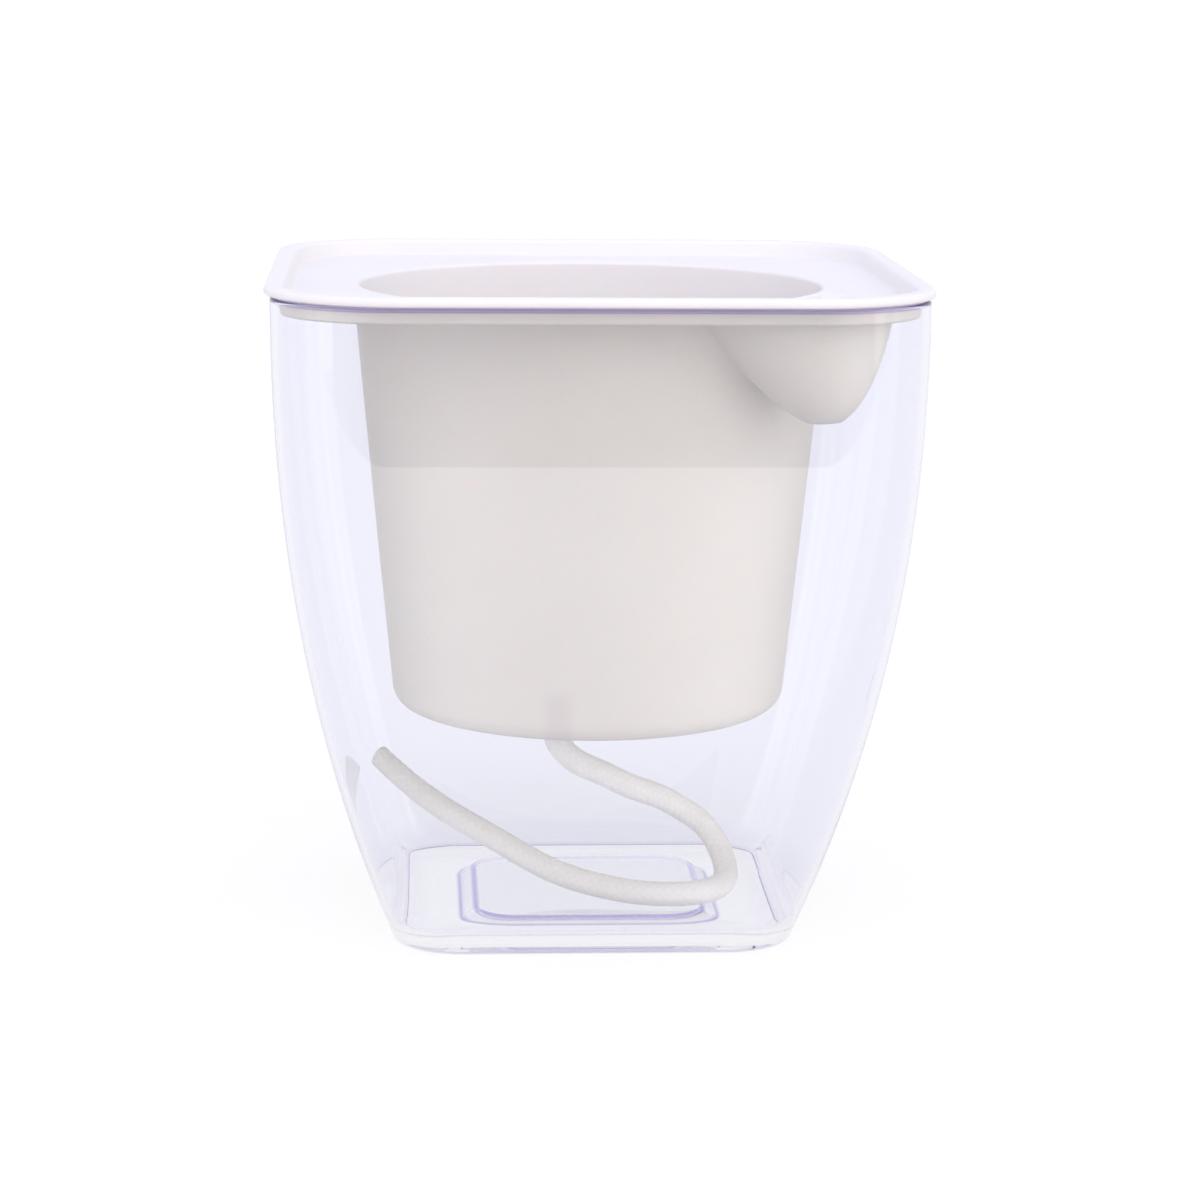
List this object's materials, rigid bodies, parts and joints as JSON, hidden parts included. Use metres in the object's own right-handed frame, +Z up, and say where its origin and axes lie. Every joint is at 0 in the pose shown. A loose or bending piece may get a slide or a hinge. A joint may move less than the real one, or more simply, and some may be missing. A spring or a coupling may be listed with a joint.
{
  "type": "self-watering pot",
  "caption": "Square self-watering planter: a white pot with a wide flange and a corner filling funnel hangs in a clear water reservoir and draws water up by a cotton wick.",
  "frame": {"origin": "on the ground under the middle of the reservoir's base", "axes": "+Z up; -Y is the front, the side that the picture shows; +X to the right, with the filling funnel in the +X -Y corner"},
  "size_m": [0.155, 0.155, 0.1596],
  "materials": {
    "clear_plastic": "clear moulded plastic with a faint violet tint, polished",
    "white_plastic": "warm white moulded plastic, fine matte",
    "cotton": "braided off-white cotton cord"
  },
  "bodies": {
    "reservoir": {"reservoir": "clear_plastic"},
    "pot": {"inner_pot": "white_plastic", "wick": "cotton"}
  },
  "joints": [
    {"name": "pot_lift", "type": "slide", "parent": "reservoir", "child": "pot", "axis": [0, 0, 1], "range_m": [0, 0.17]}
  ]
}
